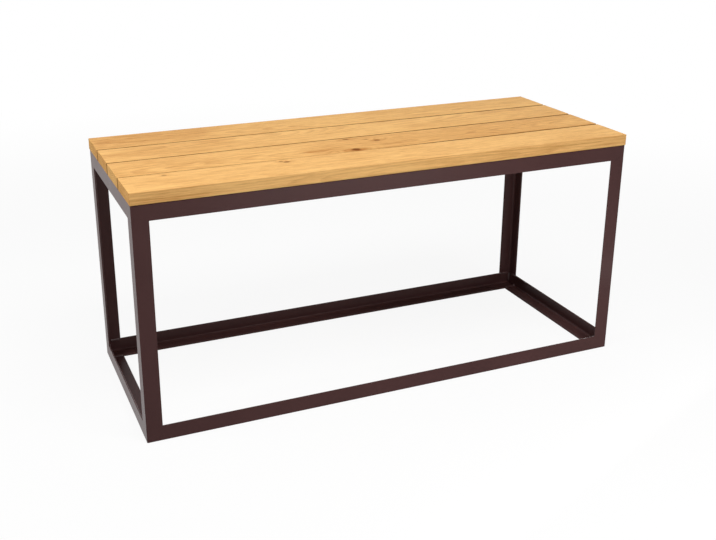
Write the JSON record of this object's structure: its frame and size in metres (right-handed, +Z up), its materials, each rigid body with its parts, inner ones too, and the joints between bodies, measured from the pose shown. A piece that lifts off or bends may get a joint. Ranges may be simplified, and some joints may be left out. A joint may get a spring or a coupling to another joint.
{
  "type": "outdoor bench",
  "caption": "Backless garden bench: a flat slatted wooden seat screwed to an open box frame of welded steel angle, standing on its flat base ring.",
  "frame": {"origin": "on the ground, under the middle of the seat", "axes": "+X along the boards to the bench's right as its front is faced, +Y towards its back, +Z up"},
  "size_m": [1, 0.389, 0.472],
  "materials": {
    "board_wood": "satin oiled, honey coloured, with knots and fine grain",
    "frame_coating": "satin powder coat, dark maroon brown",
    "screw_zinc": "bright zinc plating"
  },
  "bodies": {
    "root": {"board_front": "board_wood", "board_front_middle": "board_wood", "board_back_middle": "board_wood", "board_back": "board_wood", "top_rail_front": "frame_coating", "top_rail_back": "frame_coating", "top_rail_left": "frame_coating", "top_rail_right": "frame_coating", "base_rail_front": "frame_coating", "base_rail_back": "frame_coating", "base_rail_left": "frame_coating", "base_rail_right": "frame_coating", "leg_front_left": "frame_coating", "leg_front_right": "frame_coating", "leg_back_left": "frame_coating", "leg_back_right": "frame_coating", "cross_bar": "frame_coating", "board_screws": "screw_zinc", "top_welds": "frame_coating", "base_welds": "frame_coating"}
  },
  "joints": []
}
